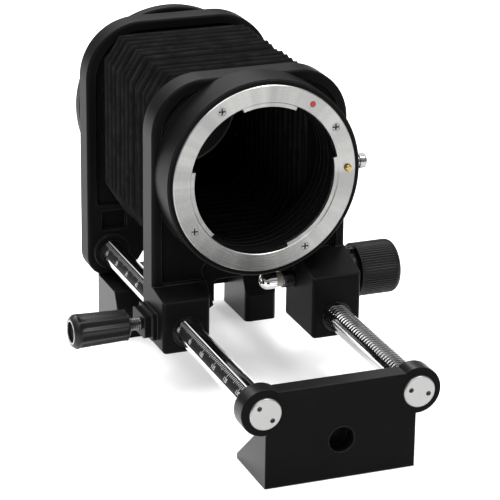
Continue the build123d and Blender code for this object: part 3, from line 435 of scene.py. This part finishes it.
def new_piece(name, verts, faces, material, smooth=True):
    """Object from vertices in the CAD frame, with its faces turned outwards."""
    mesh = bpy.data.meshes.new(name)
    mesh.from_pydata(verts, [], faces)
    shape = bmesh.new()
    shape.from_mesh(mesh)
    bmesh.ops.recalc_face_normals(shape, faces=shape.faces)
    shape.to_mesh(mesh)
    shape.free()
    if smooth:
        mesh.shade_smooth()
    piece = bpy.data.objects.new(name, mesh)
    bpy.context.scene.collection.objects.link(piece)
    mesh.materials.append(material.data)
    return piece


def band(ring_a, ring_b, steps):
    """Faces between two rings of vertices, given by their places in the list of rings."""
    a, b = ring_a * steps, ring_b * steps
    return [(a + i, a + (i + 1) % steps, b + (i + 1) % steps, b + i) for i in range(steps)]


def tube_faces(rings, steps):
    """Faces between successive rings of vertices."""
    faces = []
    for ring in range(rings - 1):
        faces += band(ring, ring + 1, steps)
    return faces


def cap(ring, steps):
    """One face that closes a ring of vertices."""
    return tuple(range(ring * steps, (ring + 1) * steps))


def ring_about_x(x, centre, radius_of, steps):
    """Ring of vertices round an axis along X. radius_of(angle) gives its radius."""
    verts = []
    for i in range(steps):
        angle = 2 * pi * i / steps
        radius = radius_of(angle)
        verts.append((x, centre.y + radius * cos(angle), centre.z + radius * sin(angle)))
    return verts


def rings_about_x(stations, centre, radius_at, steps):
    """A ring at each station along X. radius_at(x, angle) gives the radius."""
    verts = []
    for x in stations:
        verts += ring_about_x(x, centre, lambda angle: radius_at(x, angle), steps)
    return verts


def round_piece(name, stations, radius_at, centre, steps, material):
    """Closed piece round an axis along X. radius_at(x, angle) gives its radius."""
    rings = len(stations)
    verts = rings_about_x(stations, centre, radius_at, steps)
    faces = tube_faces(rings, steps) + [cap(0, steps), cap(rings - 1, steps)]
    piece = new_piece(name, verts, faces, material)
    sharpen(piece, EDGE_ANGLE)
    return piece


def sharpen(piece, angle):
    """Smooth shading that stops at edges sharper than the angle, in degrees."""
    shape = bmesh.new()
    shape.from_mesh(piece.data)
    for edge in shape.edges:
        if len(edge.link_faces) == 2 and edge.calc_face_angle() > radians(angle):
            edge.smooth = False
    shape.to_mesh(piece.data)
    shape.free()


def spaced(start, end, count):
    """Evenly spaced values from start to end, count steps apart."""
    return [start + (end - start) * i / count for i in range(count + 1)]


# ---------------------------------------------------------------- bellows
PLEATS = 13
PLEAT_DEPTH = 4.6 * MM
RIDGE_INSET = 0.25 * MM
CORNER_CUT_X = 5.0 * MM
CORNER_CUT_Z = 8.0 * MM
VALLEY_CORNER = 0.85
CLOTH_THICKNESS = 0.35 * MM
END_TUCK = 0.8 * MM
FOLD_STATIONS = 8
LONG_EDGE = 15 * MM
LONG_EDGE_PIECES = 12
SHORT_EDGE_PIECES = 4
UNEVEN_HEIGHT = 0.22
RIPPLE = 0.35 * MM
DENT = 0.35 * MM


def bellows_outline(inset, corner):
    """Points of one section, with cut corners; corner scales the cuts."""
    low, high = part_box("bellows")
    half_width = (high.x - low.x) / 2 - inset
    half_height = (high.z - low.z) / 2 - inset
    points = []
    for side_x, side_z in ((1, -1), (1, 1), (-1, 1), (-1, -1)):
        a = Vector((side_x * half_width, side_z * (half_height - CORNER_CUT_Z * corner)))
        b = Vector((side_x * (half_width - CORNER_CUT_X * corner), side_z * half_height))
        points += [a, b] if side_x * side_z > 0 else [b, a]
    return points


def fill_outline(points):
    """Adds points along each edge of the outline, so that the cloth can ripple."""
    filled = []
    for i, a in enumerate(points):
        b = points[(i + 1) % len(points)]
        pieces = LONG_EDGE_PIECES if (b - a).length > LONG_EDGE else SHORT_EDGE_PIECES
        filled += [a.lerp(b, step / pieces) for step in range(pieces)]
    return filled


def zigzag(turns):
    """0 at whole turns, 1 halfway between them, straight lines in between."""
    return 1 - abs(2 * (turns - floor(turns)) - 1)


def cloth_ring(phase, ridge, valley, skin):
    """Ring of cloth points (x, y, z from the section's centre), and how far out it is folded.

    Phase counts pleats from the front. Skin is the depth below the cloth's outer surface.
    """
    low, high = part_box("bellows")
    front, rear = low.y - END_TUCK, high.y + END_TUCK
    pleat = floor(phase)
    away_from_ends = sin(pi * phase / PLEATS)
    wave = zigzag(phase)
    fold = min(1.0, max(0.0, 1.06 * wave - 0.03))
    uneven = noise.noise(Vector((pleat * 5.3, 7.1, 2.9)))
    height = fold * (1 - UNEVEN_HEIGHT * abs(uneven))
    sway = 0.5 * uneven * wave * away_from_ends
    y = front + (rear - front) * (phase + 0.5 * sway) / PLEATS
    ring = []
    for inner, outer in zip(valley, ridge):
        p = inner.lerp(outer, height)
        ripple = RIPPLE * noise.noise(Vector((p.x * 110, pleat * 3.7, p.y * 110)))
        dent = DENT * noise.noise(Vector((p.x * 80, y * 400, p.y * 80 + 9)))
        scale = (p.length - skin - abs(dent)) / p.length
        ring.append((p.x * scale, y + ripple * away_from_ends, p.y * scale))
    return ring, fold


def make_bellows():
    """Pleated tube: each pleat folds out to a ridge with wide corner cuts and in to a valley.

    Its ends are tucked into the clamp frames, so that no light gets in.
    """
    low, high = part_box("bellows")
    centre_x, centre_z = (low.x + high.x) / 2, (low.z + high.z) / 2
    ridge = fill_outline(bellows_outline(RIDGE_INSET, 1.0))
    valley = fill_outline(bellows_outline(PLEAT_DEPTH, VALLEY_CORNER))
    steps = len(ridge)
    stations = range(PLEATS * FOLD_STATIONS + 1)
    outside = [(station, 0.0) for station in stations]
    inside = [(station, CLOTH_THICKNESS) for station in reversed(stations)]
    verts, folds = [], []
    for station, skin in outside + inside:
        ring, fold = cloth_ring(station / FOLD_STATIONS, ridge, valley, skin)
        verts += [(centre_x + x, y, centre_z + z) for x, y, z in ring]
        folds += [fold if skin == 0 else 1 - fold] * steps
    rings = len(outside + inside)
    faces = tube_faces(rings, steps) + band(0, rings - 1, steps)
    piece = new_piece("bellows_cloth_tube", verts, faces, cloth)
    piece.data.attributes.new("fold", "FLOAT", "POINT").data.foreach_set("value", folds)
    sharpen(piece, 60)
    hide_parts("bellows")
    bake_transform(piece)


make_bellows()


# ---------------------------------------------------------------- focusing knob
KNOB_RIBS = 62
KNOB_RIB_DEPTH = 0.2 * MM
KNOB_HUB_LENGTH = 3.5 * MM
KNOB_HUB_STEP = 2.2 * MM
KNOB_END_RADIUS = 2.2 * MM


def make_focus_knob():
    """Drum with straight ribs, a plain hub next to the block and a rounded end."""
    low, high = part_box("focus_knob")
    outer = (high.z - low.z) / 2
    hub = outer - KNOB_HUB_STEP
    drum = low.x + KNOB_HUB_LENGTH
    shoulder = high.x - KNOB_END_RADIUS

    def radius_at(x, angle):
        if x < drum:
            return hub
        if x > shoulder:
            into = (x - shoulder) / KNOB_END_RADIUS
            drop = KNOB_END_RADIUS * (1 - sqrt(max(0.0, 1 - into * into)))
            ribs = max(0.0, 1 - 1.6 * into)
        else:
            drop = 0.0
            ribs = min(1.0, (x - drum) / (0.5 * MM))
        groove = 0.5 + 0.5 * cos(KNOB_RIBS * angle)
        return outer - drop - KNOB_RIB_DEPTH * ribs * groove ** 2

    stations = [low.x, drum - 0.01 * MM, drum, drum + 0.25 * MM]
    stations += spaced(drum + 0.5 * MM, shoulder, 6)
    stations += [shoulder + KNOB_END_RADIUS * sin(radians(a)) for a in range(10, 91, 10)]
    centre = middle("focus_knob")
    piece = round_piece("focus_knob_grip", stations, radius_at, centre, KNOB_RIBS * 8, focus_grip)
    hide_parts("focus_knob")
    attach(piece, "focus_drive")


make_focus_knob()


# ---------------------------------------------------------------- lock knob
LOCK_FLUTES = 11
LOCK_FLUTE_DEPTH = 0.62 * MM
LOCK_FLUTE_RUN_IN = 1.2 * MM
LOCK_TAPER = 0.55 * MM
LOCK_OUTER_ROUND = 1.5 * MM
LOCK_INNER_BEVEL = 0.8 * MM
LOCK_RECESS_RADIUS = 3.45 * MM
LOCK_RECESS_DEPTH = 1.35 * MM
# places along the axis and out from the recess, in mm
LOCK_RIM_PROFILE = ((-0.05, 0.0), (-0.12, 0.15), (-0.05, 0.32), (0.25, 0.32), (0.25, 0.0))


def make_lock_knob():
    """Fluted knob, a little slimmer towards the block, with a recess in its outer end."""
    low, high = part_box("lock_knob")
    outer = (high.z - low.z) / 2
    flutes_start = low.x + LOCK_OUTER_ROUND
    flutes_end = high.x - LOCK_INNER_BEVEL

    def radius_at(x, angle):
        if x > flutes_end + 0.02 * MM:
            return outer - LOCK_TAPER - 1.3 * MM * (x - flutes_end) / (high.x - flutes_end)
        if x < flutes_start:
            return outer - 1.1 * MM * (1 - (x - low.x) / (flutes_start - low.x)) ** 1.5
        along = (x - flutes_start) / (flutes_end - flutes_start)
        cut = min(1.0, (x - flutes_start) / LOCK_FLUTE_RUN_IN)
        wave = 0.5 - 0.5 * cos(LOCK_FLUTES * angle)
        return outer - LOCK_TAPER * along - LOCK_FLUTE_DEPTH * cut * wave ** 0.7

    stations = spaced(low.x, flutes_start, 5)
    stations += spaced(flutes_start, flutes_start + LOCK_FLUTE_RUN_IN, 4)[1:]
    stations += spaced(flutes_start + LOCK_FLUTE_RUN_IN, flutes_end, 8)[1:]
    stations += [flutes_end + 0.03 * MM, high.x]
    recess = (low.x, low.x + LOCK_RECESS_DEPTH)
    centre = middle("lock_knob")
    steps = LOCK_FLUTES * 12
    verts = rings_about_x(stations, centre, radius_at, steps)
    verts += rings_about_x(recess, centre, lambda x, angle: LOCK_RECESS_RADIUS, steps)
    last = len(stations) - 1
    mouth, bottom = last + 1, last + 2
    faces = tube_faces(len(stations), steps) + [cap(last, steps)]
    faces += band(0, mouth, steps) + band(mouth, bottom, steps) + [cap(bottom, steps)]
    piece = new_piece("lock_knob_grip", verts, faces, lock_grip)
    sharpen(piece, EDGE_ANGLE)
    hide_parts("lock_knob")
    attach(piece, "carriage_lock")


def make_lock_knob_rim():
    """Thin bright ring round the mouth of the lock knob's recess."""
    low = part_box("lock_knob")[0]
    centre = middle("lock_knob")
    steps = 72
    verts = []
    for along, out in LOCK_RIM_PROFILE:
        radius = LOCK_RECESS_RADIUS - 0.05 * MM + out * MM
        verts += ring_about_x(low.x + along * MM, centre, lambda angle: radius, steps)
    rings = len(LOCK_RIM_PROFILE)
    faces = tube_faces(rings, steps) + band(rings - 1, 0, steps)
    piece = new_piece("lock_knob_rim", verts, faces, steel)
    sharpen(piece, EDGE_ANGLE)
    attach(piece, "carriage_lock")


make_lock_knob()
make_lock_knob_rim()


# ---------------------------------------------------------------- lock screw
THREAD_PITCH = 0.7 * MM
THREAD_DEPTH = 0.28 * MM


def make_lock_screw():
    """Threaded screw between the lock knob and the guide block."""
    low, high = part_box("lock_screw")
    outer = (high.z - low.z) / 2

    def radius_at(x, angle):
        turn = (x - low.x) / THREAD_PITCH - angle / (2 * pi)
        return outer - THREAD_DEPTH * zigzag(turn)

    stations = spaced(low.x, high.x, 260)
    centre = middle("lock_screw")
    piece = round_piece("lock_screw_thread", stations, radius_at, centre, 32, thread_steel)
    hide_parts("lock_screw")
    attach(piece, "carriage_lock")


make_lock_screw()


# ---------------------------------------------------------------- return spring of the lens pin
SPRING_TURNS = 6
SPRING_WIRE_RADIUS = 0.13 * MM


def make_pin_spring():
    """Coil of wire in the spring's place, built at one length."""
    low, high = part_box("pin_spring")
    centre = middle("pin_spring")
    coil_radius = (high.x - low.x) / 2 - SPRING_WIRE_RADIUS - 0.02 * MM
    start, end = low.y + SPRING_WIRE_RADIUS, high.y - SPRING_WIRE_RADIUS
    last, sides = SPRING_TURNS * 24, 8
    along = Vector((0, 1, 0))
    verts = []
    for step, y in enumerate(spaced(start, end, last)):
        turn = 2 * pi * SPRING_TURNS * step / last
        out = Vector((cos(turn), 0, sin(turn)))
        wire = Vector((centre.x, y, centre.z)) + out * coil_radius
        for i in range(sides):
            angle = 2 * pi * i / sides
            verts.append(wire + (out * cos(angle) + along * sin(angle)) * SPRING_WIRE_RADIUS)
    faces = tube_faces(last + 1, sides) + [cap(0, sides), cap(last, sides)]
    piece = new_piece("pin_spring_coil", verts, faces, steel)
    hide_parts("pin_spring")
    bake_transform(piece)


make_pin_spring()


# ---------------------------------------------------------------- scale marks
MARK_LIFT = 0.012 * MM
STRIP_MARGIN = 1.0 * MM
TICK_WIDTH = 0.15 * MM
TICK_BANDS = 4
TICK_TOP_ANGLE = 27.0
HIGHLIGHT_LINE_ANGLES = (15.5, 20.5)
TICK_LENGTHS = {10: 1.9 * MM, 5: 1.4 * MM, 1: 1.0 * MM}
NUMBER_HEIGHT = 1.9 * MM
NUMBER_ANGLE = 66.0
NUMBERED_FRONT_Y = 0.9 * MM
NUMBER_COUNT = 13


def on_left_rod(y, angle):
    """Point just off the left rod; the angle is from straight up towards the outer side."""
    radius = ROD_RADIUS + MARK_LIFT
    return (-ROD_X - radius * sin(angle), y, ROD_Z + radius * cos(angle))


def patch_on_left_rod(y_range, angle_range, bands):
    """Vertices and faces of a patch on the left rod, cut into bands round it."""
    verts = []
    for angle in spaced(*angle_range, bands):
        verts += [on_left_rod(y, angle) for y in y_range]
    faces = [(a, a + 1, a + 3, a + 2) for a in range(0, 2 * bands, 2)]
    return verts, faces


def make_ticks():
    """Marks every millimetre round the printed strip, longer at fives and tens."""
    low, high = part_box("scale_strip")
    verts, faces = [], []
    first = -floor((NUMBERED_FRONT_Y - low.y - STRIP_MARGIN) / MM)
    last = floor((high.y - STRIP_MARGIN - NUMBERED_FRONT_Y) / MM)
    top = radians(TICK_TOP_ANGLE)
    for index in range(first, last + 1):
        kind = 10 if index % 10 == 0 else 5 if index % 5 == 0 else 1
        y = NUMBERED_FRONT_Y + index * MM
        span = TICK_LENGTHS[kind] / ROD_RADIUS
        edges = (y - TICK_WIDTH / 2, y + TICK_WIDTH / 2)
        tick_verts, tick_faces = patch_on_left_rod(edges, (top, top + span), TICK_BANDS)
        base = len(verts)
        verts += tick_verts
        faces += [tuple(base + i for i in face) for face in tick_faces]
    piece = new_piece("scale_ticks", verts, faces, white, smooth=False)
    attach(piece, "base")


def make_highlight_line():
    """Pale line along the upper edge of the printed strip: a painted highlight for the light caught
    by the bare rod there.
    """
    low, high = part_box("scale_strip")
    angles = [radians(angle) for angle in HIGHLIGHT_LINE_ANGLES]
    verts, faces = patch_on_left_rod((low.y, high.y), angles, 3)
    piece = new_piece("scale_highlight_line", verts, faces, highlight_line_white)
    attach(piece, "base")


def flat_number(text):
    """Mesh of a number, one unit high, centred on its own origin, cut into narrow bands."""
    curve = bpy.data.curves.new("number", "FONT")
    curve.body = text
    curve.align_x = "CENTER"
    curve.align_y = "CENTER"
    curve.resolution_u = 3
    holder = bpy.data.objects.new("number", curve)
    mesh = bpy.data.meshes.new_from_object(holder)
    shape = bmesh.new()
    shape.from_mesh(mesh)
    for level in spaced(-0.4, 0.4, 8):
        geometry = shape.verts[:] + shape.edges[:] + shape.faces[:]
        bmesh.ops.bisect_plane(shape, geom=geometry, plane_co=(0, level, 0), plane_no=(0, 1, 0))
    shape.to_mesh(mesh)
    shape.free()
    bpy.data.objects.remove(holder)
    bpy.data.curves.remove(curve)
    return mesh


def make_numbers():
    """Numbers every ten millimetres, wrapped on the rod and read from its outer side."""
    verts, faces = [], []
    for index in range(NUMBER_COUNT):
        mesh = flat_number(str(10 * (NUMBER_COUNT - index)))
        y = NUMBERED_FRONT_Y + 10 * MM * index
        base = len(verts)
        for vertex in mesh.vertices:
            angle = radians(NUMBER_ANGLE) - vertex.co.y * NUMBER_HEIGHT / ROD_RADIUS
            verts.append(on_left_rod(y - vertex.co.x * NUMBER_HEIGHT, angle))
        faces += [tuple(base + i for i in face.vertices) for face in mesh.polygons]
        bpy.data.meshes.remove(mesh)
    piece = new_piece("scale_numbers", verts, faces, white, smooth=False)
    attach(piece, "base")


make_ticks()
make_highlight_line()
make_numbers()


# ---------------------------------------------------------------- floor, light and camera
FLOOR_HALF_SIZE = 6.0
FLOOR_GLOW = 0.4
CAMERA_PLACE = (-0.2645, -0.6084, 0.3162)
CAMERA_AZIMUTH = 21.52
CAMERA_ELEVATION = 20.655
CAMERA_ROLL = 0.773
CAMERA_LENS = 178.82
WHITE = (1, 1, 1, 1)


def make_floor():
    """White floor that glows a little, so that shadows on it stay faint."""
    corners = ((-1, -1), (1, -1), (1, 1), (-1, 1))
    verts = [(x * FLOOR_HALF_SIZE, y * FLOOR_HALF_SIZE, 0) for x, y in corners]
    m = Material("floor_white", (0.86, 0.86, 0.86), 0.7)
    m.drive("Base Color", m.blend_color(m.noise(3.0), (0.85, 0.85, 0.85), (0.88, 0.88, 0.88)))
    m.set("Emission Color", WHITE)
    m.set("Emission Strength", FLOOR_GLOW)
    piece = new_piece("floor", verts, [(0, 1, 2, 3)], m)


def make_world(horizon, overhead):
    """Soft surround: dim at the horizon, brighter overhead."""
    world = bpy.data.worlds.new("studio")
    world.use_nodes = True
    tree = world.node_tree
    direction = tree.nodes.new("ShaderNodeTexCoord").outputs["Generated"]
    parts = tree.nodes.new("ShaderNodeSeparateXYZ")
    tree.links.new(direction, parts.inputs[0])
    ramp = tree.nodes.new("ShaderNodeMapRange")
    ramp.interpolation_type = "SMOOTHSTEP"
    ramp.inputs["From Min"].default_value = 0.1
    ramp.inputs["From Max"].default_value = 0.9
    ramp.inputs["To Min"].default_value = horizon
    ramp.inputs["To Max"].default_value = overhead
    tree.links.new(parts.outputs["Z"], ramp.inputs["Value"])
    background = tree.nodes["Background"]
    background.inputs["Color"].default_value = WHITE
    tree.links.new(ramp.outputs[0], background.inputs["Strength"])
    bpy.context.scene.world = world


def soft_light(name, place, target, size, power):
    """Rectangular soft box at a place, facing a target, with its power in watts."""
    light = bpy.data.lights.new(name, "AREA")
    light.shape = "RECTANGLE"
    light.size, light.size_y = size
    light.energy = power
    holder = bpy.data.objects.new(name, light)
    direction = Vector(target) - Vector(place)
    turn = direction.to_track_quat("-Z", "Y").to_matrix().to_4x4()
    holder.matrix_world = Matrix.Translation(place) @ turn
    bpy.context.scene.collection.objects.link(holder)


def make_camera(place, azimuth, elevation, roll, lens):
    """Camera looking towards +Y, turned by azimuth towards +X, down by elevation and rolled."""
    a, e, t = radians(azimuth), radians(elevation), radians(roll)
    forward = Vector((sin(a) * cos(e), cos(a) * cos(e), -sin(e)))
    right = forward.cross(Vector((0, 0, 1))).normalized()
    up = right.cross(forward)
    across = right * cos(t) + up * sin(t)
    above = up * cos(t) - right * sin(t)
    camera = bpy.data.cameras.new("camera")
    camera.lens = lens
    camera.sensor_width = 36.0
    camera.clip_start = 0.05
    camera.clip_end = 50.0
    holder = bpy.data.objects.new("camera", camera)
    columns = Matrix((across, above, -forward)).transposed().to_4x4()
    holder.matrix_world = Matrix.Translation(place) @ columns
    bpy.context.scene.collection.objects.link(holder)
    bpy.context.scene.camera = holder


make_floor()
make_world(horizon=0.18, overhead=0.8)
soft_light("back", (-0.1, 0.7, 0.85), (0, 0.1, 0), (1.1, 0.8), 14.0)
soft_light("key", (-0.35, -0.2, 0.85), (0, 0.05, 0.05), (0.35, 0.35), 3.0)
soft_light("top", (0.3, -0.15, 0.85), (0, 0.05, 0.05), (0.2, 0.2), 4.0)
make_camera(CAMERA_PLACE, CAMERA_AZIMUTH, CAMERA_ELEVATION, CAMERA_ROLL, CAMERA_LENS)
bpy.context.scene.view_settings.view_transform = "Standard"
